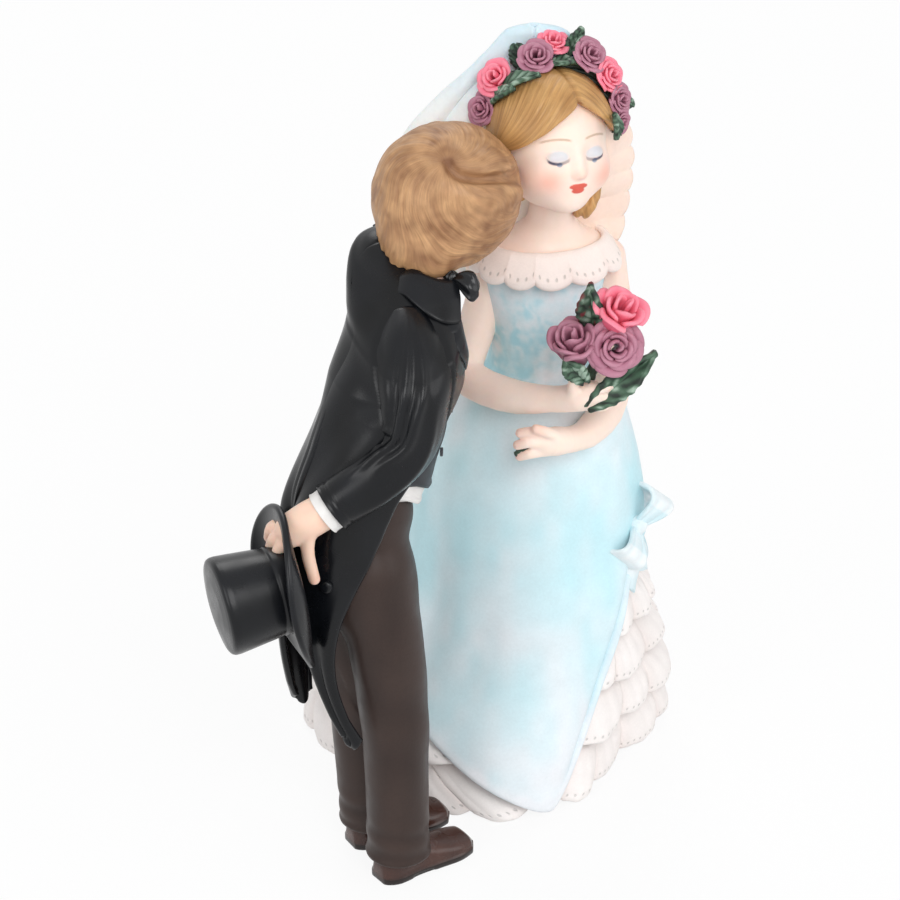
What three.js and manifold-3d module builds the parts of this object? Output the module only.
// Wedding cake topper: a groom in a tailcoat leans in to kiss a bride in a tiered gown.
// The pair is cast in resin in many pieces, which are glued together and painted.
// Millimetres, +Z up. The origin lies on the table at the middle of the gown's base, and the bride faces -Y.

import * as THREE from "three";
import { mergeVertices } from "three/addons/utils/BufferGeometryUtils.js";
import Module from "manifold-3d";

const wasm = await Module();
wasm.setup();

// Glue line between neighbouring castings, and how far a coarse facet may sag below its round surface
const GLUE_GAP = 0.35;
const FACET_SAG = 0.4;

// Gown
const GOWN_FLOOR_HALF_WIDTH = 32.4;
const GOWN_FLOOR_HALF_DEPTH = 31;
const WAIST_HEIGHT = 78;
const WAIST_HALF_WIDTH = 9.9;
const WAIST_HALF_DEPTH = 8.5;
const RUFFLE_TIERS = 4;
const RUFFLE_PITCH = 9.4;
const RUFFLE_FLARE = 1.4;
const RUFFLE_PLEATS = 12;
const PLEAT_DEPTH = 0.6;
const SCALLOP_DEPTH = 0.5;
const OVERSKIRT_THICKNESS = 2.6;
const OVERSKIRT_LIFT = 1.2;
const PETTICOAT_INSET = 4.8;
const NECKLINE_HEIGHT = 100;
const NECKLINE_HALF_WIDTH = 11;
const NECKLINE_HALF_DEPTH = 7;
const NECK_RUFFLE_RISE = 3;
const NECK_RUFFLE_DROP = 5;
const NECK_RUFFLE_THICKNESS = 1.2;
const NECK_RUFFLE_SCALLOPS = 12;
const BRIDE_TURN = 10;
const FLAT_QUARTERS = [[-30, 1], [-140, 0.72]];
const FLAT_SPREAD = 33;

// Bride's head, veil and flower crown
const BRIDE_HEAD_HALF_WIDTH = 9.1;
const BRIDE_HEAD_HALF_DEPTH = 9.7;
const BRIDE_HEAD_HALF_HEIGHT = 11.2;
const BRIDE_HAIR_THICKNESS = 1.8;
const BRIDE_NECK_RADIUS = 3.9;
const VEIL_THICKNESS = 1.3;
const VEIL_FOLD_DEPTH = 0.8;
const CROWN_BAND_RADIUS = 0.8;
const CROWN_LEAF_LENGTH = 5.2;
const CROWN_LEAF_WIDTH = 2.9;
const LEAF_THICKNESS = 0.9;
const ROSE_HEIGHT_RATIO = 1.25;

// Bouquet and sash bow
const BOUQUET_ROSE_RADIUS = 4.2;
const STEM_RADIUS = 0.9;
const LONG_LEAF_LENGTH = 14;
const LONG_LEAF_WIDTH = 4.6;
const BOW_KNOT_RADIUS = 1.7;
const RIBBON_THICKNESS = 1.1;

// Arms and hands
const FINGER_RADIUS = 0.8;
const GROOM_FINGER_RADIUS = 1.15;
const CUFF_LENGTH = 1.7;
const CUFF_THICKNESS = 0.6;

// Groom
const GROOM_TURN = 20;
const GROOM_HEAD_RADIUS = 10.6;
const GROOM_HAIR_THICKNESS = 2;
const GROOM_NECK_RADIUS = 4.6;
const COAT_THICKNESS = 1.3;
const COAT_HEM_HEIGHT = 66;
const LAPEL_THICKNESS = 0.9;
const COLLAR_THICKNESS = 1.4;
const TAIL_THICKNESS = 1.8;
const SHIRT_TAIL_HEIGHT = 2.6;
const WAISTCOAT_TOP = 99;
const BUTTON_RADIUS = 0.85;
const BUTTON_HEIGHT = 0.8;
const SHOE_LENGTH = 19;
const SHOE_HALF_WIDTH = 3.7;
const SHOE_HEIGHT = 5.6;
const SOLE_HEIGHT = 1.1;
const SOLE_WELT = 0.35;
const TROUSER_HEM_HEIGHT = 4.2;

// Top hat
const HAT_TOP_RADIUS = 8.3;
const HAT_WAIST_RADIUS = 7.2;
const HAT_HEIGHT = 13;
const HAT_RECESS = 2.4;
const HAT_WALL = 1.3;
const BRIM_HALF_LENGTH = 14.3;
const BRIM_HALF_WIDTH = 11.6;
const BRIM_THICKNESS = 1.3;
const BRIM_CURL = 3.2;

// Painted finishes
const paint = (color, roughness) => new THREE.MeshStandardMaterial({ color, roughness, metalness: 0 });
const WHITE_LACE = paint("#f3ece8", 0.75);
const PALE_BLUE = paint("#bfe4ea", 0.7);
const SKIN = paint("#fbdccb", 0.6);
const BRIDE_HAIR = paint("#c49a62", 0.65);
const GROOM_HAIR = paint("#b48758", 0.65);
const VEIL_BLUE = paint("#e6f1ee", 0.7);
const MAUVE = paint("#a8667c", 0.55);
const PINK = paint("#f0708a", 0.5);
const LEAF_GREEN = paint("#4f6b57", 0.55);
const BLACK_SATIN = paint("#2b2c30", 0.45);
const CHARCOAL = paint("#3b3b40", 0.6);
const BROWN_CLOTH = paint("#4a3d38", 0.75);
const BROWN_POLISH = paint("#3a2622", 0.3);
const WHITE_LINEN = paint("#f6f3ef", 0.7);

// Points, sections and closed surfaces
const radians = THREE.MathUtils.degToRad;
const lerp = THREE.MathUtils.lerp;
const point = (x, y, z) => new THREE.Vector3(x, y, z);
const steps = (count) => Array.from({ length: count + 1 }, (_, i) => i / count);

// The row of numbers at t, from 0 at the first row to 1 at the last, on a smooth curve through all rows.
function between(rows, t) {
  const place = THREE.MathUtils.clamp(t, 0, 1) * (rows.length - 1);
  const i = Math.min(Math.floor(place), rows.length - 2);
  const f = place - i;
  const before = rows[Math.max(i - 1, 0)];
  const after = rows[Math.min(i + 2, rows.length - 1)];
  return rows[i].map((from, k) => {
    const to = rows[i + 1][k];
    const start = (to - before[k]) / 2;
    const end = (after[k] - from) / 2;
    const bend = from * (2 * f ** 3 - 3 * f ** 2 + 1) + to * (3 * f ** 2 - 2 * f ** 3);
    return bend + start * (f ** 3 - 2 * f ** 2 + f) + end * (f ** 3 - f ** 2);
  });
}

// The same for rows that start with their height.
function atHeight(rows, z) {
  let i = 0;
  while (i < rows.length - 2 && z > rows[i + 1][0]) i += 1;
  const f = (z - rows[i][0]) / (rows[i + 1][0] - rows[i][0]);
  return between(rows, (i + THREE.MathUtils.clamp(f, 0, 1)) / (rows.length - 1));
}

function geometryFrom(points, faces) {
  const geometry = new THREE.BufferGeometry();
  const numbers = points.flatMap((p) => p.toArray());
  geometry.setAttribute("position", new THREE.Float32BufferAttribute(numbers, 3));
  let volume = 0;
  for (const [a, b, c] of faces) volume += points[a].dot(points[b].clone().cross(points[c]));
  geometry.setIndex((volume < 0 ? faces.map(([a, b, c]) => [a, c, b]) : faces).flat());
  return geometry;
}

// A closed surface over rings of points: a hoop joins its last ring to its first, anything else gets end caps.
function skin(rings, { hoop = false, poles = [] } = {}) {
  const around = rings[0].length;
  const points = rings.flat();
  const faces = [];
  const spans = hoop ? rings.length : rings.length - 1;
  for (let i = 0; i < spans; i += 1) {
    const next = ((i + 1) % rings.length) * around;
    for (let j = 0; j < around; j += 1) {
      const k = (j + 1) % around;
      faces.push([i * around + j, i * around + k, next + k], [i * around + j, next + k, next + j]);
    }
  }
  if (hoop) return geometryFrom(points, faces);
  [rings[0], rings.at(-1)].forEach((ring, end) => {
    const middle = ring.reduce((sum, p) => sum.add(p), point(0, 0, 0)).divideScalar(around);
    const start = end * (rings.length - 1) * around;
    points.push(poles[end] ?? middle);
    for (let j = 0; j < around; j += 1) {
      const pair = [start + j, start + ((j + 1) % around)];
      faces.push(end ? [...pair, points.length - 1] : [...pair.reverse(), points.length - 1]);
    }
  });
  return geometryFrom(points, faces);
}

// A sheet of the given thickness over a grid of points.
function sheet(grid, thickness) {
  const rows = grid.length;
  const columns = grid[0].length;
  const clamp = (i, count) => Math.min(Math.max(i, 0), count - 1);
  const side = (sign) => grid.flatMap((row, i) => row.map((p, j) => {
    const along = grid[clamp(i + 1, rows)][j].clone().sub(grid[clamp(i - 1, rows)][j]);
    const across = row[clamp(j + 1, columns)].clone().sub(row[clamp(j - 1, columns)]);
    return p.clone().addScaledVector(across.cross(along).normalize(), (sign * thickness) / 2);
  }));
  const points = [...side(1), ...side(-1)];
  const back = rows * columns;
  const faces = [];
  const quad = (a, b, c, d) => faces.push([a, b, c], [a, c, d]);
  const at = (i, j) => i * columns + j;
  for (let i = 0; i < rows - 1; i += 1) {
    for (let j = 0; j < columns - 1; j += 1) {
      quad(at(i, j), at(i + 1, j), at(i + 1, j + 1), at(i, j + 1));
      quad(back + at(i, j), back + at(i, j + 1), back + at(i + 1, j + 1), back + at(i + 1, j));
    }
    quad(at(i, 0), back + at(i, 0), back + at(i + 1, 0), at(i + 1, 0));
    const edge = columns - 1;
    quad(at(i, edge), at(i + 1, edge), back + at(i + 1, edge), back + at(i, edge));
  }
  for (let j = 0; j < columns - 1; j += 1) {
    quad(at(0, j), at(0, j + 1), back + at(0, j + 1), back + at(0, j));
    const end = rows - 1;
    quad(at(end, j), back + at(end, j), back + at(end, j + 1), at(end, j + 1));
  }
  return geometryFrom(points, faces);
}

// A point of a body with level oval sections.
// Rows hold height, centre x, centre y, half width, half depth and, if there is any, the share flattened off.
function onBody(rows, turn, angle, z, out = 0) {
  const [, x, y, wide, deep, flat = 0] = atHeight(rows, z);
  const keep = 1 - flat * flatness(angle);
  const local = point((wide * keep + out) * Math.cos(angle), (deep * keep + out) * Math.sin(angle), 0);
  return local.applyAxisAngle(point(0, 0, 1), radians(turn)).add(point(x, y, z));
}

// How far a direction lies in the gown's two flat front quarters, from 0 to 1.
function flatness(angle) {
  const away = (degrees) => {
    const turn = angle - radians(degrees);
    return Math.atan2(Math.sin(turn), Math.cos(turn)) / radians(FLAT_SPREAD);
  };
  return FLAT_QUARTERS.reduce((sum, [degrees, share]) => sum + share * Math.exp(-(away(degrees) ** 2)), 0);
}

// A closed body between two heights of such rows.
function loft(rows, turn, around, levels, { from = rows[0][0], to = rows.at(-1)[0], out = 0 } = {}) {
  return skin(steps(levels).map((t) => steps(around).slice(1).map(
    (a) => onBody(rows, turn, 2 * Math.PI * a, lerp(from, to, t), out))));
}

// A round limb along rows of x, y, z and radius, with domed or flat ends.
function limb(rows, around, count, { flat = [false, false], squash = 1, up = point(0, 0, 1) } = {}) {
  const line = steps(count).map((t) => between(rows, t));
  const middle = line.map(([x, y, z]) => point(x, y, z));
  const ways = middle.map((_, i) => (
    middle[Math.min(i + 1, count)].clone().sub(middle[Math.max(i - 1, 0)]).normalize()));
  const ring = (centre, way, radius) => {
    const side = way.clone().cross(up).normalize();
    const top = side.clone().cross(way);
    return steps(around).slice(1).map((a) => centre.clone()
      .addScaledVector(side, radius * Math.cos(2 * Math.PI * a))
      .addScaledVector(top, radius * squash * Math.sin(2 * Math.PI * a)));
  };
  const rings = middle.map((p, i) => ring(p, ways[i], line[i][3]));
  const poles = [];
  [0, count].forEach((i, end) => {
    if (flat[end]) return;
    const out = ways[i].clone().multiplyScalar(end ? 1 : -1);
    const radius = line[i][3];
    const dome = ring(middle[i].clone().addScaledVector(out, radius * 0.7), ways[i], radius * 0.7);
    if (end) rings.push(dome);
    else rings.unshift(dome);
    poles[end] = middle[i].clone().addScaledVector(out, radius);
  });
  return skin(rings, { poles });
}

// A ball of three half sizes whose radius is scaled by shape(direction).
function ball(halves, around, levels, shape = () => 1) {
  const at = (up, turn) => {
    const way = point(Math.cos(turn) * Math.sin(up), Math.sin(turn) * Math.sin(up), Math.cos(up));
    return way.clone().multiply(halves).multiplyScalar(shape(way));
  };
  const rings = steps(levels).slice(1, -1).map((t) => steps(around).slice(1).map(
    (a) => at(Math.PI * t, 2 * Math.PI * a)));
  return skin(rings, { poles: [at(0, 0), at(Math.PI, 0)] });
}

// A leaf from its base to its tip, bent away from its middle line and veined by a groove.
function leaf(base, tip, face, width, thickness = LEAF_THICKNESS) {
  const along = tip.clone().sub(base);
  const side = along.clone().cross(face).normalize();
  const out = side.clone().cross(along).normalize();
  const grid = steps(4).map((t) => steps(2).map((u) => {
    const half = Math.max(width * Math.sin(Math.PI * Math.min(t + 0.06, 0.98)) ** 0.8, 0.5) / 2;
    const cup = 0.22 * width * Math.abs(2 * u - 1) + 0.16 * along.length() * Math.sin(Math.PI * t) * 0.5;
    const across = base.clone().addScaledVector(along, t).addScaledVector(side, half * (2 * u - 1));
    return across.addScaledVector(out, cup);
  }));
  return sheet(grid, thickness);
}

// A rose seen from above as a spiral of petals, on a tapered calyx; it opens along +Z.
function rose(radius, around, petalTurns) {
  const height = radius * ROSE_HEIGHT_RATIO;
  const edge = (a) => radius * (1 + 0.07 * Math.cos(5 * a + 0.4));
  const calyx = [[0.3, 0], [0.9, 0.34]].map(([share, up]) => steps(around).slice(1).map((s) => {
    const a = 2 * Math.PI * s;
    return point(edge(a) * share * Math.cos(a), edge(a) * share * Math.sin(a), height * up);
  }));
  const petals = [1, 0.76, 0.52, 0.28].map((share) => steps(around).slice(1).map((s) => {
    const a = 2 * Math.PI * s;
    const turn = petalTurns * share + s;
    const lip = turn - Math.floor(turn);
    const up = 0.62 + 0.38 * Math.sqrt(1 - (0.95 * share) ** 2) - 0.2 * lip;
    return point(edge(a) * share * Math.cos(a), edge(a) * share * Math.sin(a), height * up);
  }));
  return skin([...calyx, ...petals], { poles: [point(0, 0, 0), point(0, 0, height * 0.92)] });
}

// Cutting and joining
function solidOf(geometry) {
  const bare = new THREE.BufferGeometry().setAttribute("position", geometry.getAttribute("position"));
  bare.setIndex(geometry.index);
  const merged = mergeVertices(bare, 1e-4);
  const vertProperties = new Float32Array(merged.getAttribute("position").array);
  const triVerts = new Uint32Array(merged.index.array);
  return new wasm.Manifold(new wasm.Mesh({ numProp: 3, vertProperties, triVerts }));
}

function geometryOf(solid) {
  const bodies = solid.decompose();
  const largest = bodies.reduce((best, body) => (body.volume() > best.volume() ? body : best));
  const { vertProperties, triVerts } = largest.getMesh();
  const geometry = new THREE.BufferGeometry();
  geometry.setAttribute("position", new THREE.BufferAttribute(new Float32Array(vertProperties), 3));
  geometry.setIndex(new THREE.BufferAttribute(new Uint32Array(triVerts), 1));
  return geometry;
}

function joined(...geometries) {
  return geometryOf(geometries.map(solidOf).reduce((all, one) => all.add(one)));
}

// A copy of a geometry with every vertex moved out along its normal.
function grown(geometry, by) {
  const bare = new THREE.BufferGeometry().setAttribute("position", geometry.getAttribute("position"));
  bare.setIndex(geometry.index);
  const copy = mergeVertices(bare, 1e-4);
  copy.computeVertexNormals();
  const position = copy.getAttribute("position");
  const normal = copy.getAttribute("normal");
  for (let i = 0; i < position.count; i += 1) {
    position.setXYZ(
      i,
      position.getX(i) + by * normal.getX(i),
      position.getY(i) + by * normal.getY(i),
      position.getZ(i) + by * normal.getZ(i),
    );
  }
  return copy;
}

// Cuts a placed mesh clear of its neighbours by the glue gap. A neighbour may have a plainer body for this.
function trim(mesh, ...neighbours) {
  mesh.updateWorldMatrix(true, false);
  const toMesh = mesh.matrixWorld.clone().invert();
  let solid = solidOf(mesh.geometry);
  for (const neighbour of neighbours) {
    neighbour.updateWorldMatrix(true, false);
    const cutter = grown(neighbour.userData.around ?? neighbour.geometry, GLUE_GAP);
    cutter.applyMatrix4(neighbour.matrixWorld).applyMatrix4(toMesh);
    solid = solid.subtract(solidOf(cutter));
  }
  mesh.geometry = geometryOf(solid);
}

function add(group, name, geometry, material, around) {
  const mesh = new THREE.Mesh(geometry, material);
  mesh.name = name;
  mesh.userData.around = around;
  group.add(mesh);
  return mesh;
}

// Turns a group so that its +Z looks along a direction, with its +X as near as can be to another.
function aim(object, way, side) {
  const z = way.clone().normalize();
  const y = z.clone().cross(side).normalize();
  const x = y.clone().cross(z);
  object.quaternion.setFromRotationMatrix(new THREE.Matrix4().makeBasis(x, y, z));
}

const topper = new THREE.Group();
const bride = new THREE.Group();
const groom = new THREE.Group();
topper.add(bride, groom);

// Gown: level oval sections from the table to the waist, swept to the bride's right by the train
const GOWN = [
  [0, 1.2, -1.5, GOWN_FLOOR_HALF_WIDTH, GOWN_FLOOR_HALF_DEPTH, 0.27],
  [12, 2.4, -2.4, 31.2, 27.8, 0.22],
  [24, 5.4, -4, 24.4, 22, 0.12],
  [36, 7.2, -5.2, 20, 18.2, 0.05],
  [48, 7.4, -6, 18.8, 15.2, 0.02],
  [60, 7.8, -6.5, 16.9, 13, 0],
  [70, 8.8, -6.9, 13.9, 10.8, 0],
  [WAIST_HEIGHT, 10.3, -7.6, WAIST_HALF_WIDTH, WAIST_HALF_DEPTH, 0],
];

// The overskirt's hem: its point touches the table in front, and it is drawn up to the bow at one side.
const HEM_POINT = -71.5;
const HEM_RISE_LEFT = 0.72;
const HEM_RISE_RIGHT = 0.34;
const HEM_TOP = RUFFLE_TIERS * RUFFLE_PITCH + 1.7;
function hemHeight(degrees) {
  return Math.min(HEM_RISE_LEFT * degrees, HEM_RISE_RIGHT * (360 - degrees), HEM_TOP);
}

// A tier stands on the one below and runs round the back, from one side of the overskirt's hem to the other.
function ruffleTier(tier) {
  const bottom = tier * RUFFLE_PITCH;
  const top = bottom + RUFFLE_PITCH - GLUE_GAP - SCALLOP_DEPTH;
  const clear = 2.4 * GLUE_GAP;
  const inside = -PETTICOAT_INSET + 2 * GLUE_GAP + FACET_SAG;
  const outline = [[0, inside], [1, inside], [1, -1.2], [0.4, 0.2], [0, RUFFLE_FLARE]];
  return skin(steps(3 * RUFFLE_PLEATS).map((s) => outline.map(([share, out]) => {
    const z = lerp(bottom, top, share);
    const from = (z + clear) / HEM_RISE_LEFT;
    const to = 360 - (z + clear) / HEM_RISE_RIGHT;
    const wave = Math.cos(2 * Math.PI * RUFFLE_PLEATS * s + 2 * tier) * (1 - share);
    const frill = out > inside ? wave : 0;
    const drop = tier ? SCALLOP_DEPTH * frill : 0;
    return onBody(GOWN, 0, radians(HEM_POINT + lerp(from, to, s)), z - drop, out + PLEAT_DEPTH * frill);
  })));
}

function overskirt() {
  const around = 36;
  const wall = (out, shares) => shares.map((share) => steps(around).slice(0, -1).map((s) => {
    const angle = radians(HEM_POINT + 360 * s);
    const z = lerp(WAIST_HEIGHT - GLUE_GAP, hemHeight(360 * s), share);
    const fold = 0.5 * Math.cos(9 * angle) * share;
    return onBody(GOWN, 0, angle, z, out ? fold + OVERSKIRT_LIFT * share : -OVERSKIRT_THICKNESS);
  }));
  return skin([...wall(true, steps(5)), ...wall(false, [1, 0.5, 0])], { hoop: true });
}

const petticoat = add(bride, "petticoat", loft(GOWN, 0, 24, 8, {
  to: WAIST_HEIGHT - GLUE_GAP,
  out: -PETTICOAT_INSET,
}), WHITE_LACE);
const drape = add(bride, "overskirt", overskirt(), PALE_BLUE, loft(GOWN, 0, 20, 8, {
  to: WAIST_HEIGHT - GLUE_GAP,
  out: OVERSKIRT_LIFT,
}));
const tiers = Array.from({ length: RUFFLE_TIERS }, (_, tier) => (
  add(bride, `ruffle_tier_${tier + 1}`, ruffleTier(tier), WHITE_LACE)));

// Bodice, bust and neckline ruffle
const BODICE = [
  [WAIST_HEIGHT, 10.3, -7.6, WAIST_HALF_WIDTH, WAIST_HALF_DEPTH],
  [WAIST_HEIGHT + 7, 10.2, -8.1, 9.4, 7.9],
  [NECKLINE_HEIGHT - 8, 10, -8.5, 10, 8.1],
  [NECKLINE_HEIGHT - GLUE_GAP, 10, -8.6, NECKLINE_HALF_WIDTH, NECKLINE_HALF_DEPTH],
];
const BUST = [
  [NECKLINE_HEIGHT, 10, -8.6, NECKLINE_HALF_WIDTH, NECKLINE_HALF_DEPTH],
  [NECKLINE_HEIGHT + 2.4, 10.1, -8.6, 9.2, 6],
  [NECKLINE_HEIGHT + 4.4, 10.4, -8.8, 5.6, 4.9],
  [NECKLINE_HEIGHT + 7, 10.9, -9.2, BRIDE_NECK_RADIUS, BRIDE_NECK_RADIUS],
  [NECKLINE_HEIGHT + 13, 11.4, -9.8, BRIDE_NECK_RADIUS, BRIDE_NECK_RADIUS],
];
const plainBodice = loft(BODICE, BRIDE_TURN, 14, 4, { out: FACET_SAG });
const bodice = add(bride, "bodice", loft(BODICE, BRIDE_TURN, 20, 5), PALE_BLUE, plainBodice);
const bust = add(bride, "bust", loft(BUST, BRIDE_TURN, 18, 6), SKIN);

// The ruffle lies round the bare shoulders and hangs over the top of the bodice.
const SHOULDERS = [[NECKLINE_HEIGHT - 4, 10, -8.6, NECKLINE_HALF_WIDTH, NECKLINE_HALF_DEPTH + 0.3], ...BUST];
const ruffleTop = NECKLINE_HEIGHT + NECK_RUFFLE_RISE;
function necklineRuffle() {
  const around = 3 * NECK_RUFFLE_SCALLOPS;
  const scallop = (angle) => Math.abs(Math.cos((NECK_RUFFLE_SCALLOPS * angle) / 2));
  const row = (share, out) => steps(around).slice(1).map((s) => {
    const angle = 2 * Math.PI * s;
    const drop = NECK_RUFFLE_DROP * share * (0.78 + 0.22 * scallop(angle));
    return onBody(SHOULDERS, BRIDE_TURN, angle, ruffleTop - drop, out + 0.8 * share * scallop(angle));
  });
  const inner = GLUE_GAP;
  const outer = inner + NECK_RUFFLE_THICKNESS;
  const downward = [0, 0.2, 0.5, 1];
  const face = (out) => downward.map((share) => row(share, out + share));
  return skin([...face(outer), ...face(inner).reverse()], { hoop: true });
}
const plainRuffle = loft(SHOULDERS, BRIDE_TURN, 16, 4, {
  from: ruffleTop - NECK_RUFFLE_DROP - GLUE_GAP,
  to: ruffleTop,
  out: NECK_RUFFLE_THICKNESS + 2.2,
});
const neckRuffle = add(bride, "neckline_ruffle", necklineRuffle(), WHITE_LACE, plainRuffle);

// Bride's head: a group whose -Y looks out of the face
const brideHead = new THREE.Group();
brideHead.position.set(10.7, -9, NECKLINE_HEIGHT + 21);
brideHead.rotation.set(radians(14), radians(4.5), radians(15), "ZXY");
bride.add(brideHead);

function faceShape(way) {
  const chin = 1 - 0.2 * Math.max(0, -way.z - 0.2) * (1 - 0.5 * Math.max(0, -way.y));
  const cheek = 1 + 0.03 * Math.exp(-12 * ((Math.abs(way.x) - 0.5) ** 2 + (way.z + 0.4) ** 2)) * (way.y < 0);
  return chin * cheek;
}

function headWithFeatures(halves) {
  const deep = halves.y;
  const feature = (x, y, z, wide, thick, high) => ball(point(wide, thick, high), 8, 4).translate(x, y, z);
  const nose = limb([[0, -deep * 0.94, 2, 0.7], [0, -deep * 1.03, -0.6, 1.1]], 6, 2);
  const lids = [-1, 1].map((side) => feature(side * 3.5, -deep * 0.88, 1.6, 1.7, 0.9, 1));
  const lips = feature(0, -deep * 0.9, -4.4, 1.7, 0.9, 0.8);
  return joined(ball(halves, 18, 11, faceShape), nose, ...lids, lips);
}

const plainBall = (halves) => ball(halves.clone().addScalar(FACET_SAG), 14, 8);
const BRIDE_SKULL = point(BRIDE_HEAD_HALF_WIDTH, BRIDE_HEAD_HALF_DEPTH, BRIDE_HEAD_HALF_HEIGHT);
const brideFace = add(brideHead, "bride_head", headWithFeatures(BRIDE_SKULL), SKIN, plainBall(BRIDE_SKULL));
trim(bust, brideFace);

// Hair swept from a centre parting down to both sides, open at the face, with one loose curl
const BRIDE_HAIR_CAP = BRIDE_SKULL.clone().addScalar(BRIDE_HAIR_THICKNESS);
function brideHair() {
  const locks = (way) => 0.018 * Math.sin(18 * way.z + 5 * way.y) * Math.min(1, 3 * Math.abs(way.x));
  const parting = (way) => 0.06 * Math.exp(-60 * way.x ** 2) * Math.max(0, way.z);
  const cap = ball(BRIDE_HAIR_CAP, 26, 13, (way) => 1 + locks(way) - parting(way));
  const face = ball(point(BRIDE_HEAD_HALF_WIDTH, 11.5, 16), 14, 9).translate(0, -12.6, -4.8);
  const skull = grown(plainBall(BRIDE_SKULL), GLUE_GAP);
  const curl = limb([
    [8.2, -4.2, -6.4, 1.3], [6.6, -6.6, -8.6, 1.6], [5.8, -7, -10.6, 1.5], [6.4, -5.6, -12.4, 0.7],
  ], 6, 4);
  return geometryOf(solidOf(cap).subtract(solidOf(face)).add(solidOf(curl)).subtract(solidOf(skull)));
}
const brideLocks = add(brideHead, "bride_hair", brideHair(), BRIDE_HAIR, plainBall(BRIDE_HAIR_CAP));
trim(brideLocks, bust);

// Veil: a sheet hung from behind the flower crown, open at the face
const VEIL = [
  [NECKLINE_HEIGHT - 12, 4.2, -1.6, 16.4, 11],
  [NECKLINE_HEIGHT, 3.9, -2.4, 17.4, 10.6],
  [NECKLINE_HEIGHT + 10, 4.4, -3, 18, 10],
  [NECKLINE_HEIGHT + 18, 5.8, -3.4, 16.8, 9.6],
  [NECKLINE_HEIGHT + 26, 7.2, -4, 14, 9],
  [NECKLINE_HEIGHT + 32.6, 8.4, -4, 9.6, 6.8],
  [NECKLINE_HEIGHT + 37, 8.2, -2.6, 4.6, 3.4],
];
function veil() {
  const grid = steps(7).map((down) => steps(19).map((s) => {
    const angle = radians(lerp(lerp(24, -6, down), lerp(156, 190, down), s));
    const hem = NECKLINE_HEIGHT - 10 + 9 * Math.max(0, Math.cos(angle)) ** 2 + 1.2 * Math.cos(8 * angle);
    const z = lerp(VEIL.at(-1)[0], hem, down);
    return onBody(VEIL, 0, angle, z, VEIL_FOLD_DEPTH * Math.cos(8 * angle) * down);
  }));
  return sheet(grid, VEIL_THICKNESS);
}
const veilSheet = add(bride, "veil", veil(), VEIL_BLUE);

// Flower crown: an arc of roses and leaves over the hair, from ear to ear
const CROWN_BACK = radians(25);
function crownWay(degrees, back = CROWN_BACK) {
  const angle = radians(degrees);
  return point(Math.sin(angle) * Math.cos(back), Math.sin(back), Math.cos(angle) * Math.cos(back));
}
function crownSpot(degrees, out = 0, back = CROWN_BACK) {
  const way = crownWay(degrees, back);
  const seat = BRIDE_HAIR_CAP.clone().addScalar(FACET_SAG + GLUE_GAP + CROWN_BAND_RADIUS);
  return way.clone().multiplyScalar(1 / way.clone().divide(seat).length() + out);
}
const CROWN_LEAVES = [
  [-60, -30, 12], [-34, -8, 32], [-2, 24, 16], [12, 30, 44], [60, 84, 12], [88, 108, 20],
];
function crownBand() {
  const rows = steps(10).map((t) => [...crownSpot(lerp(-80, 96, t)).toArray(), CROWN_BAND_RADIUS]);
  const leaves = CROWN_LEAVES.map(([from, to, back]) => {
    const base = crownSpot(from, 0.2);
    const tip = crownSpot(to, 1.2, radians(back));
    tip.sub(base).setLength(CROWN_LEAF_LENGTH).add(base);
    return leaf(base, tip, crownWay((from + to) / 2, radians(back)), CROWN_LEAF_WIDTH);
  });
  return joined(limb(rows, 6, 10, { up: point(0, 1, 0.2) }), ...leaves);
}
const band = add(brideHead, "crown_band_with_leaves", crownBand(), LEAF_GREEN);

const CROWN_ROSES = [
  [-72, 2.5, MAUVE, 25], [-46, 2.9, PINK, 25], [-16, 2.8, MAUVE, 22], [4, 2.3, PINK, 40],
  [27, 2.9, MAUVE, 27], [49, 2.5, PINK, 24], [71, 2.4, MAUVE, 22], [90, 1.7, MAUVE, 20],
];
const crownRoses = CROWN_ROSES.map(([degrees, radius, colour, back], i) => {
  const flower = add(brideHead, `crown_rose_${i + 1}`, rose(radius, 10, 1.7), colour);
  flower.position.copy(crownSpot(degrees, CROWN_BAND_RADIUS + GLUE_GAP, radians(back)));
  aim(flower, crownWay(degrees, radians(back - 44)), point(1, 0, 0));
  return flower;
});
crownRoses.forEach((flower, i) => trim(flower, band, ...crownRoses.slice(0, i)));
trim(veilSheet, brideLocks, band, neckRuffle, ...crownRoses);

// Bride's arms with their hands
function hand(palm, fingers, radius, squash) {
  const parts = fingers.map((rows) => limb(rows.map((row) => [...row, radius]), 5, 2));
  return joined(limb(palm, 8, 3, { squash }), ...parts);
}
const RIGHT_ARM = [
  [-0.4, -9.2, NECKLINE_HEIGHT - 1.4, 3], [-1.2, -10, NECKLINE_HEIGHT - 7, 3.2],
  [-3, -12, NECKLINE_HEIGHT - 13, 3.2], [-3.2, -15.4, 80.6, 3.1], [4.4, -21.6, 79.8, 2.9],
  [13, -25.6, 81.6, 2],
];
const LEFT_ARM = [
  [20.6, -7, NECKLINE_HEIGHT - 1.4, 3], [21.2, -7.8, NECKLINE_HEIGHT - 7, 3.1],
  [22.2, -9.6, NECKLINE_HEIGHT - 14, 3.1], [21, -14.4, 74.6, 3.1], [17.6, -19.6, 71.8, 2.6],
  [14.2, -22.8, 72, 2],
];
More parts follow.
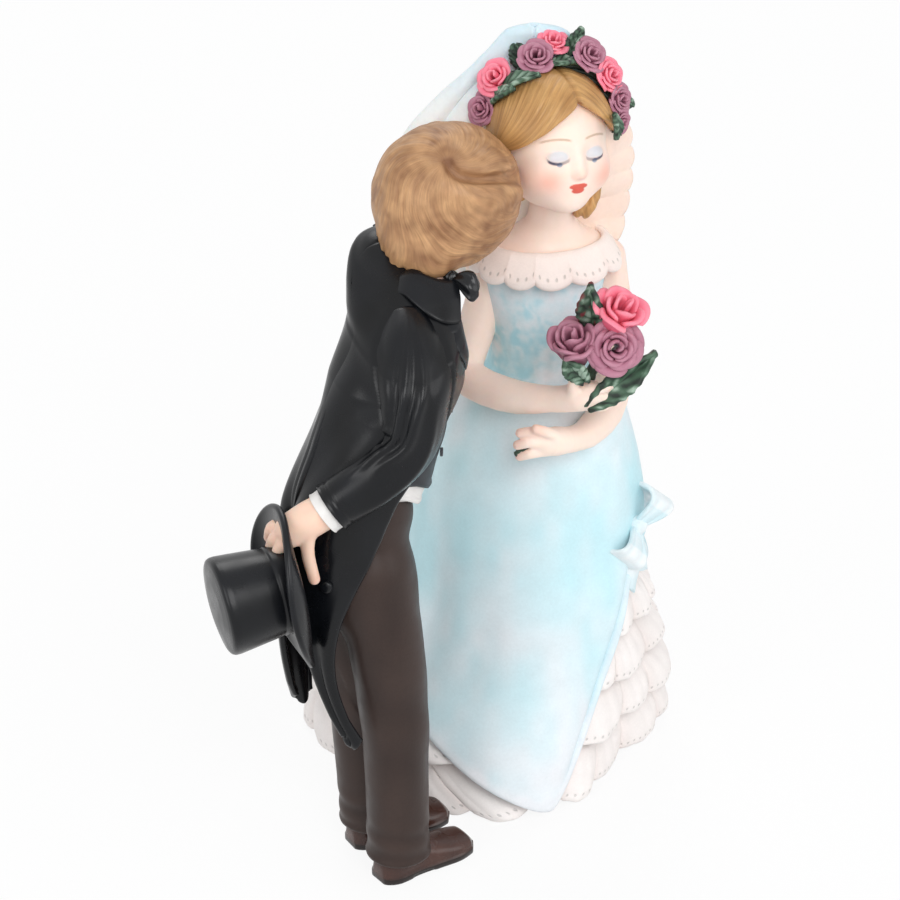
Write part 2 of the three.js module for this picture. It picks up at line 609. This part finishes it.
const rightArm = add(bride, "bride_right_arm", joined(limb(RIGHT_ARM, 8, 8), hand(
  [[12.4, -25.4, 81.4, 2], [15.4, -26.6, 82.6, 2.5], [17.4, -27, 83.6, 2.2]],
  [
    [[17, -27.6, 84.6], [19.6, -28.2, 85.2], [21.4, -27, 85.8]],
    [[17.4, -27.6, 83.2], [20.2, -28, 83.4], [22.2, -26.6, 83.8]],
    [[16.6, -27.6, 81.8], [19.2, -28, 81.6], [21, -26.8, 81.8]],
    [[14.4, -27.4, 84], [14.6, -28.4, 86.6], [15.2, -28, 88.6]],
  ], FINGER_RADIUS, 0.75)), SKIN);
const leftArm = add(bride, "bride_left_arm", joined(limb(LEFT_ARM, 8, 8), hand(
  [[14.6, -22.6, 72, 2], [11.8, -24.6, 72.8, 2.5], [10, -25.6, 73.2, 2.2]],
  [
    [[10, -26, 75], [7.8, -27, 76], [5.8, -27, 75.8]],
    [[9.6, -26.4, 73.6], [7.2, -27.4, 74.2], [5.4, -27.2, 73.6]],
    [[9.8, -26.2, 72], [7.6, -27.2, 72], [5.8, -26.8, 71.2]],
    [[11.8, -25.4, 74.4], [11.4, -26.4, 77], [12, -26.6, 78.4]],
  ], FINGER_RADIUS, 0.75)), SKIN);
trim(rightArm, bodice, drape, neckRuffle);
trim(leftArm, bodice, drape, neckRuffle);

// Bouquet: three roses, a bud and two leaves on a stem held in both hands
const bouquet = new THREE.Group();
bride.add(bouquet);
const stem = add(bouquet, "bouquet_stem", limb([
  [19.4, -26.2, 91.4, 1.5 * STEM_RADIUS], [17.4, -25.6, 86, STEM_RADIUS], [15.4, -25.4, 79.8, STEM_RADIUS],
], 6, 4), LEAF_GREEN);
const stemEnd = add(bouquet, "bouquet_stem_end", limb([
  [9, -25.4, 74.4, STEM_RADIUS], [6.4, -26.4, 72.4, STEM_RADIUS], [4.6, -26.6, 70.6, STEM_RADIUS],
], 6, 3), LEAF_GREEN);
trim(stem, rightArm);
trim(stemEnd, leftArm);
const BOUQUET_ROSES = [
  ["bouquet_rose_right", [20.4, -25.6, 90.4], [0.2, -0.85, 0.42], BOUQUET_ROSE_RADIUS, MAUVE],
  ["bouquet_rose_left", [15.6, -25.6, 90], [-0.1, -0.4, 0.95], 0.84 * BOUQUET_ROSE_RADIUS, MAUVE],
  ["bouquet_rose_pink", [20.4, -24.4, 95], [0.45, -0.45, 0.75], 0.95 * BOUQUET_ROSE_RADIUS, PINK],
];
const bouquetRoses = BOUQUET_ROSES.map(([name, at, way, radius, colour]) => {
  const flower = add(bouquet, name, rose(radius, 15, 2.2), colour);
  flower.position.set(...at);
  aim(flower, point(...way), point(1, 0, 0));
  return flower;
});
const longLeafBase = point(16.6, -27.8, 81.4);
const longLeafTip = point(28.2, -25, 90.6).sub(longLeafBase).setLength(LONG_LEAF_LENGTH).add(longLeafBase);
const leaves = [
  add(bouquet, "bouquet_long_leaf", leaf(
    longLeafBase, longLeafTip, point(0.3, -1, 0.4), LONG_LEAF_WIDTH), LEAF_GREEN),
  add(bouquet, "bouquet_curled_leaf", leaf(
    point(16.6, -28.4, 87), point(13.4, -29.2, 91.4), point(-0.4, -1, 0.2), 3.6), LEAF_GREEN),
  add(bouquet, "bouquet_bud", leaf(
    point(17.8, -24.4, 95.6), point(17.4, -25.6, 103.4), point(-0.2, -1, 0.3), 4), LEAF_GREEN),
];
const behindBouquet = [stem, rightArm, leftArm, bodice, neckRuffle];
bouquetRoses.forEach((flower, i) => trim(flower, ...behindBouquet, ...bouquetRoses.slice(0, i)));
leaves.forEach((one, i) => trim(one, ...behindBouquet, ...bouquetRoses, ...leaves.slice(0, i)));

// Sash bow on the bride's left hip
function bowLoop(from, to, width) {
  const middle = between([from, to], 0.45);
  const rows = [[...from, BOW_KNOT_RADIUS * 0.8], [...middle, width / 2], [...to, width * 0.32]];
  return limb(rows, 8, 3, { squash: 0.5, up: point(0.8, -0.6, 0) });
}
const BOW_AT = [26.4, -11.4, 48.6];
function ribbonTail(to, width) {
  const grid = steps(4).map((t) => steps(2).map((u) => {
    const [x, y, z] = between([BOW_AT, [BOW_AT[0] - 0.6, BOW_AT[1] - 1.2, BOW_AT[2] - 5], to], t);
    const half = lerp(0.8, width / 2, t) * (2 * u - 1);
    return point(x + 0.55 * half, y + 0.83 * half, z + 0.4 * Math.abs(half) * t);
  }));
  return sheet(grid, RIBBON_THICKNESS);
}
const bow = add(bride, "sash_bow", joined(
  ball(point(BOW_KNOT_RADIUS, BOW_KNOT_RADIUS, BOW_KNOT_RADIUS), 8, 6).translate(...BOW_AT),
  bowLoop(BOW_AT, [28.8, -6.4, 52.4], 6),
  bowLoop(BOW_AT, [23.4, -16.4, 44.6], 6),
), PALE_BLUE);
const bowTails = add(bride, "sash_bow_tails", joined(
  ribbonTail([25, -15.6, 37.6], 3.4), ribbonTail([27.2, -12.4, 39.4], 3.2)), PALE_BLUE);
trim(bow, drape, ...tiers);
trim(bowTails, drape, bow, ...tiers);

// Groom's torso: level oval sections; the width runs from front to back and the depth from side to side
const TORSO = [
  [COAT_HEM_HEIGHT, -21.4, -43, 11.6, 9.4],
  [74, -20.1, -42.5, 12.6, 9.8],
  [84, -16.9, -41, 12, 10.5],
  [95, -14.4, -39, 10.6, 11.2],
  [104, -13.6, -37, 8.9, 11.4],
  [109.4, -13.8, -35.8, 8.4, 11],
  [112.8, -14, -34.6, 7.7, 9.6],
  [115.4, -13.8, -33.6, 6, 7.2],
  [116.8, -13.4, -33, 3.6, 4.4],
];
const SHIRT_TOP = 112;
const inset = -COAT_THICKNESS - GLUE_GAP - 0.2;
const trousersTop = COAT_HEM_HEIGHT - GLUE_GAP;
const waistcoatHem = COAT_HEM_HEIGHT + SHIRT_TAIL_HEIGHT + GLUE_GAP;
const shirtTail = add(groom, "shirt_tail", loft(TORSO, GROOM_TURN, 20, 2, {
  from: COAT_HEM_HEIGHT, to: waistcoatHem - GLUE_GAP, out: inset - 0.5 }), WHITE_LINEN);
const waistcoat = add(groom, "waistcoat", loft(TORSO, GROOM_TURN, 20, 5, {
  from: waistcoatHem, to: WAISTCOAT_TOP, out: inset }), CHARCOAL);
const shirtFront = add(groom, "shirt_front", loft(TORSO, GROOM_TURN, 20, 2, {
  from: WAISTCOAT_TOP + GLUE_GAP, to: SHIRT_TOP, out: inset }), WHITE_LINEN);

// The tailcoat's front stands open over the waistcoat and ends in a corner, below which it is cut away.
// Rows of height and of the degrees from the middle of the front to the coat's edge.
const COAT_EDGE = [
  [COAT_HEM_HEIGHT - 1, 92], [68, 82], [74, 67], [80, 61], [86.4, 56],
  [90, 31], [96, 31], [106, 36], [112, 43], [118, 60],
];
const coatEdge = (z) => atHeight(COAT_EDGE, z)[1];
function coatOpening() {
  return skin(steps(20).map((t) => {
    const z = lerp(COAT_EDGE[0][0], COAT_EDGE.at(-1)[0], t);
    const [, x, y] = atHeight(TORSO, z);
    const edge = radians(coatEdge(z));
    const rim = [-1, -0.5, 0, 0.5, 1].map((side) => onBody(TORSO, GROOM_TURN, side * edge, z, 6));
    return [point(x, y, z), ...rim];
  }));
}
const coatLining = loft(TORSO, GROOM_TURN, 20, 6, {
  from: COAT_HEM_HEIGHT - 1,
  to: SHIRT_TOP + GLUE_GAP,
  out: -COAT_THICKNESS,
});
const coatShell = solidOf(loft(TORSO, GROOM_TURN, 24, 9)).subtract(solidOf(coatLining));
const coatCloth = geometryOf(coatShell.subtract(solidOf(coatOpening())));
const coatBody = loft(TORSO, GROOM_TURN, 20, 9, { out: FACET_SAG });
const coat = add(groom, "tailcoat_body", coatCloth, BLACK_SATIN, coatBody);

const BUTTON_LINE = -23;
const WAISTCOAT_BUTTONS = { waistcoat_button_upper: 84.5, waistcoat_button_lower: 76.5 };
Object.entries(WAISTCOAT_BUTTONS).forEach(([name, z]) => {
  const disc = new THREE.CylinderGeometry(BUTTON_RADIUS, BUTTON_RADIUS, BUTTON_HEIGHT, 10);
  disc.rotateZ(radians(GROOM_TURN + BUTTON_LINE) - Math.PI / 2);
  const button = add(groom, name, disc, CHARCOAL);
  const out = inset + GLUE_GAP + BUTTON_HEIGHT / 2;
  button.position.copy(onBody(TORSO, GROOM_TURN, radians(BUTTON_LINE), z, out));
  trim(button, waistcoat);
});

// Lapels and collar lie on the coat
function lapel(side) {
  const grid = steps(6).map((t) => {
    const z = lerp(111, 91.4, t);
    const edge = coatEdge(z) + 1;
    const width = 30 * Math.sin(Math.PI * (0.25 + 0.72 * t)) + 4;
    const out = GLUE_GAP + LAPEL_THICKNESS / 2;
    return steps(3).map((u) => onBody(TORSO, GROOM_TURN, side * radians(edge + width * u), z, out));
  });
  return sheet(grid, LAPEL_THICKNESS);
}
const lapels = { tailcoat_lapel_right: -1, tailcoat_lapel_left: 1 };
const lapelMeshes = Object.entries(lapels).map(([name, side]) => add(groom, name, lapel(side), BLACK_SATIN));

// Groom's head: a group whose -Y looks out of the face, turned to the bride's cheek
const groomHead = new THREE.Group();
groomHead.position.set(-6.4, -21, 117);
groomHead.rotation.set(radians(14), radians(-14), radians(128), "ZXY");
groom.add(groomHead);
const GROOM_SKULL = point(GROOM_HEAD_RADIUS * 0.9, GROOM_HEAD_RADIUS, GROOM_HEAD_RADIUS);
const groomNeck = limb([[0, 4, -6, GROOM_NECK_RADIUS], [0.6, 7.6, -9.4, GROOM_NECK_RADIUS]], 10, 1);
const groomFace = add(groomHead, "groom_head", joined(
  headWithFeatures(GROOM_SKULL),
  groomNeck,
), SKIN);
trim(groomFace, coat, ...lapelMeshes, brideFace, brideLocks);

// Hair combed round a whorl at the crown and cut full over the ears
function groomHair(halves) {
  const whorl = point(-0.25, 0.62, 0.74).normalize();
  const shape = (way) => {
    const reach = way.angleTo(whorl);
    const round = Math.atan2(way.x - whorl.x, way.z - whorl.z + 0.4 * way.y);
    const locks = 0.016 * Math.sin(9 * round + 5 * reach) * Math.min(1, 2 * reach);
    const parting = 0.1 * Math.exp(-30 * (way.x + 0.3) ** 2) * Math.max(0, 0.5 * way.z - way.y);
    return 1 + locks - parting + 0.05 * Math.max(0, way.y) - 0.03 * Math.exp(-9 * reach ** 2);
  };
  const cap = solidOf(ball(halves, 24, 13, shape));
  const skull = solidOf(grown(plainBall(GROOM_SKULL), GLUE_GAP));
  const face = solidOf(ball(point(GROOM_HEAD_RADIUS, 10, 13), 18, 10).translate(0, -11.6, -6.4));
  const nape = solidOf(new THREE.BoxGeometry(30, 30, 8).translate(0, 0, -12.6));
  const neck = solidOf(grown(groomNeck, GLUE_GAP));
  return geometryOf([skull, face, nape, neck].reduce((left, cutter) => left.subtract(cutter), cap));
}
const GROOM_HAIR_CAP = GROOM_SKULL.clone().addScalar(GROOM_HAIR_THICKNESS);
const groomLocks = add(groomHead, "groom_hair", groomHair(GROOM_HAIR_CAP), GROOM_HAIR);
trim(groomLocks, coat, brideFace, brideLocks, neckRuffle, veilSheet);

// The shirt collar shows under the chin, and the coat's collar lies round the back of the neck.
const shirtCollar = add(groom, "shirt_collar", limb([
  [-10.4, -31.4, 106.4, GROOM_NECK_RADIUS + 0.9], [-9.2, -29, 109.4, GROOM_NECK_RADIUS + 0.6],
], 14, 1, { flat: [true, true] }), WHITE_LINEN);
trim(shirtCollar, coat, ...lapelMeshes, groomFace, groomLocks);
function collar() {
  return sheet(steps(3).map((up) => steps(12).map((s) => {
    const out = GLUE_GAP + COLLAR_THICKNESS / 2;
    return onBody(TORSO, GROOM_TURN, radians(lerp(66, 294, s)), lerp(112.4, 115.2, up), out);
  })), COLLAR_THICKNESS);
}
const coatCollar = add(groom, "tailcoat_collar", collar(), BLACK_SATIN);
trim(coatCollar, coat, groomFace, groomLocks, ...lapelMeshes);

const TIE_AT = [-4.4, -30.2, 103.4];
function tieWing(side) {
  return limb([
    [...TIE_AT, 0.8],
    [TIE_AT[0] - 0.7 * side, TIE_AT[1] + 2 * side, TIE_AT[2] + 0.4, 1.6],
    [TIE_AT[0] - 1.3 * side, TIE_AT[1] + 3.6 * side, TIE_AT[2] + 0.6, 2],
  ], 6, 2, { squash: 0.6, up: point(1, 0, 0.2) });
}
const bowTie = add(groom, "bow_tie", joined(
  tieWing(1), tieWing(-1), ball(point(1.2, 1.2, 1.3), 6, 5).translate(...TIE_AT)), BLACK_SATIN);
trim(bowTie, coat, shirtCollar, groomFace, groomLocks, neckRuffle, ...lapelMeshes);

// Sleeves, cuffs and hands
const RIGHT_SLEEVE = [
  [-12.2, -43.2, 108.4, 4.2], [-11.4, -46.2, 103.4, 5], [-11.6, -48, 95.5, 5], [-12.8, -49.2, 87.4, 4.9],
  [-17.8, -50.8, 82, 4.6], [-25, -52.4, 77, 4.1],
];
const LEFT_SLEEVE = [
  [-12.8, -28, 101, 4.7], [-15, -26, 93, 4.6], [-16.6, -25.2, 86, 4.4], [-15.8, -24.2, 79, 4.1],
  [-14.6, -23.2, 74.4, 3.8],
];
function sleeve(side, rows, neighbours) {
  const end = point(...rows.at(-1).slice(0, 3));
  const way = end.clone().sub(point(...rows.at(-2).slice(0, 3))).normalize();
  const arm = add(groom, `tailcoat_sleeve_${side}`, limb(rows, 12, 9, { flat: [false, true] }), BLACK_SATIN);
  trim(arm, ...neighbours);
  const from = end.clone().addScaledVector(way, GLUE_GAP);
  const to = from.clone().addScaledVector(way, CUFF_LENGTH);
  const radius = rows.at(-1)[3] - CUFF_THICKNESS;
  const cuff = add(groom, `shirt_cuff_${side}`, limb(
    [[...from.toArray(), radius], [...to.toArray(), radius]], 12, 1, { flat: [true, true] }), WHITE_LINEN);
  return { arm, cuff, wrist: to.addScaledVector(way, GLUE_GAP), way };
}
const right = sleeve("right", RIGHT_SLEEVE, [coat, coatCollar, ...lapelMeshes]);
trim(right.cuff, coat);
const left = sleeve("left", LEFT_SLEEVE, [coat, groomLocks, shirtCollar, ...lapelMeshes]);

function groomHand(name, { wrist, way }, palmTo, fingers) {
  const from = wrist.clone();
  const palm = limb([
    [...from.toArray(), 2.5], [...from.clone().addScaledVector(way, 2).toArray(), 2.9], [...palmTo, 2.9],
  ], 10, 3, { flat: [true, false], squash: 0.72 });
  const parts = fingers.map((rows) => limb(
    [[...palmTo, GROOM_FINGER_RADIUS], ...rows.map((row) => [...row, GROOM_FINGER_RADIUS])], 5, 3));
  return add(groom, name, joined(palm, ...parts), SKIN);
}
const rightHand = groomHand("groom_right_hand", right, [-31.4, -53.4, 73.4], [
  [[-34.6, -51, 72.4], [-35.4, -49, 69.2]],
  [[-34.2, -53, 71.6], [-35.2, -51.4, 68.2]],
  [[-33.4, -54.8, 70.8], [-34.4, -53.6, 67.4]],
  [[-29, -54.8, 70], [-28, -54.6, 64.6]],
]);
groomHand("groom_left_hand", left, [-13.6, -22.2, 68.6], [
  [[-11.7, -20.7, 66.4], [-11.9, -20.9, 63.6]],
  [[-13.3, -21.7, 65.6], [-13.5, -21.9, 62.6]],
  [[-15, -22.8, 65.8], [-15.2, -23, 62.9]],
  [[-11.3, -23.8, 67.5], [-11.1, -24.3, 65.3]],
]);

// Trousers: two legs from one seat, standing on the shoes
const RIGHT_LEG = [
  [-20.4, -45.6, 58, 6.6], [-17.8, -46, 48, 6.4], [-16.4, -46, 34, 5.8], [-15.8, -46, 20, 5.4],
  [-15.2, -46, TROUSER_HEM_HEIGHT, 5.2],
];
const LEFT_LEG = [
  [-23.8, -38.8, 58, 6.4], [-22.8, -37.2, 48, 6.2], [-21.6, -36.6, 34, 5.6], [-20.7, -36.4, 20, 5.2],
  [-19.7, -36.2, TROUSER_HEM_HEIGHT, 5],
];
const seat = loft([
  [49, -21, -42, 5.6, 6.4], [57, -21.8, -42.4, 8.8, 8], [trousersTop, -22.2, -42.8, 9, 8],
], GROOM_TURN, 16, 4);
const legs = [RIGHT_LEG, LEFT_LEG].map((rows) => (
  limb(rows, 11, 6, { flat: [false, true], up: point(0, 1, 0) })));
const trousers = add(groom, "trousers", joined(seat, ...legs), BROWN_CLOTH);
trim(trousers, drape);

// Shoes: a rounded upper on a flat sole with a welt
function shoe() {
  const outline = [
    [0, 0.62, 0.86], [0.14, 0.84, 1], [0.36, 0.82, 0.98], [0.58, 0.92, 0.74], [0.78, 1, 0.6],
    [0.93, 0.82, 0.52], [1, 0.5, 0.36],
  ];
  return skin(steps(8).map((t) => {
    const [along, wide, high] = between(outline, t);
    const half = SHOE_HALF_WIDTH * wide;
    const arch = [0.5, 0.8, 1, 0.8, 0.5].map((up, i) => (
      [half * Math.cos((Math.PI * (i + 1)) / 6), lerp(SOLE_HEIGHT, SHOE_HEIGHT * high, up)]));
    const welt = half + SOLE_WELT;
    const section = [[welt, 0], [welt, SOLE_HEIGHT], ...arch, [-welt, SOLE_HEIGHT], [-welt, 0]];
    return section.map(([x, z]) => point(SHOE_LENGTH * along, x, z));
  }));
}
const SHOES = { shoe_right: [-18.2, -49, 36], shoe_left: [-23.2, -38.6, 30] };
const shoes = Object.entries(SHOES).map(([name, [x, y, turn]]) => {
  const mesh = add(groom, name, shoe(), BROWN_POLISH);
  mesh.position.set(x, y, 0);
  mesh.rotation.z = radians(turn);
  return mesh;
});
trim(shoes[0], ...tiers, drape);
trim(shoes[1], ...tiers, drape, shoes[0]);
trim(trousers, ...shoes, shirtTail, coat);

// Coat tails: each a tapered sheet with a soft fold, hung from the coat's hem behind the legs
const tailTop = COAT_HEM_HEIGHT - GLUE_GAP - 0.1;
const RIGHT_TAIL = {
  front: [[-16.6, -51.6, tailTop], [-20.4, -52.6, 54], [-23.8, -52.6, 43], [-20.6, -52.4, 29.6]],
  back: [[-31.4, -47.6, tailTop], [-31.8, -47.8, 54], [-28.6, -49.6, 43], [-25.6, -50.6, 30]],
  fold: 1.6,
};
const LEFT_TAIL = {
  front: [[-32.8, -46, tailTop], [-34, -45.4, 54], [-33.8, -45, 43], [-33, -44.6, 30.4]],
  back: [[-27, -33.6, tailTop], [-29, -35.6, 54], [-29, -37.6, 43], [-29, -39.6, 30.4]],
  fold: 1.2,
};
function onTail({ front, back, fold }, t, u, lift = 0) {
  const from = point(...between(front, t));
  const across = point(...between(back, t)).sub(from);
  const out = point(0, 0, 1).cross(across).normalize();
  const round = Math.max(0, t - 0.86) * 14 * (2 * u - 1) ** 2;
  const bulge = fold * Math.sin(Math.PI * u) + 0.5 * Math.sin(3 * Math.PI * u) * t + lift;
  return from.addScaledVector(across, u).addScaledVector(out, bulge).add(point(0, 0, round));
}
const tail = (shape) => sheet(steps(8).map((t) => steps(5).map((u) => onTail(shape, t, u))), TAIL_THICKNESS);
const tails = [
  add(groom, "tailcoat_tail_right", tail(RIGHT_TAIL), BLACK_SATIN),
  add(groom, "tailcoat_tail_left", tail(LEFT_TAIL), BLACK_SATIN),
];
trim(tails[0], coat, trousers, shirtTail, right.arm, right.cuff);
trim(tails[1], coat, trousers, shirtTail, tails[0]);
const tailButton = add(groom, "tail_button", ball(
  point(BUTTON_RADIUS, BUTTON_RADIUS, BUTTON_RADIUS), 8, 5), BLACK_SATIN);
tailButton.position.copy(onTail(RIGHT_TAIL, 0.12, 0.45, TAIL_THICKNESS / 2 + BUTTON_RADIUS * 0.7));
trim(tailButton, tails[0], coat);

// Top hat held by its brim; its +Z runs from the brim to the crown's top and its +X along the brim's length
const hat = new THREE.Group();
hat.position.set(-31.4, -54, 63);
aim(hat, point(-0.936, -0.331, -0.115), point(0.26, -0.07, -0.96));
groom.add(hat);
const crownProfile = new THREE.SplineCurve([
  new THREE.Vector2(HAT_WAIST_RADIUS, 0),
  new THREE.Vector2(HAT_WAIST_RADIUS * 1.01, HAT_HEIGHT * 0.4),
  new THREE.Vector2(HAT_TOP_RADIUS, HAT_HEIGHT),
]).getPoints(4);
const hatCrown = add(hat, "top_hat_crown", new THREE.LatheGeometry([
  new THREE.Vector2(0, HAT_RECESS),
  new THREE.Vector2(HAT_WAIST_RADIUS - HAT_WALL, HAT_RECESS),
  new THREE.Vector2(HAT_WAIST_RADIUS - HAT_WALL, 0),
  ...crownProfile,
  new THREE.Vector2(HAT_TOP_RADIUS - 0.5, HAT_HEIGHT + 0.35),
  new THREE.Vector2(0, HAT_HEIGHT + 0.5),
], 24).rotateX(Math.PI / 2), BLACK_SATIN);
function brim() {
  const inner = HAT_WAIST_RADIUS + GLUE_GAP;
  const ring = (share, lift) => steps(28).slice(1).map((s) => {
    const angle = 2 * Math.PI * s;
    const x = lerp(inner, BRIM_HALF_LENGTH, share) * Math.cos(angle);
    const y = lerp(inner, BRIM_HALF_WIDTH, share) * Math.sin(angle);
    return point(x, y, lift + BRIM_CURL * share ** 2 * Math.sin(angle) ** 2);
  });
  const shares = [0, 0.5, 1];
  return skin([
    ...shares.map((share) => ring(share, 0)),
    ...shares.map((share) => ring(share, BRIM_THICKNESS)).reverse(),
  ], { hoop: true });
}
const hatBrim = add(hat, "top_hat_brim", brim(), BLACK_SATIN);
trim(hatBrim, tails[0], tails[1], coat, right.arm, right.cuff, tailButton);
trim(rightHand, right.cuff, right.arm, hatBrim, hatCrown, coat, tails[0], tails[1], tailButton);

export default topper;
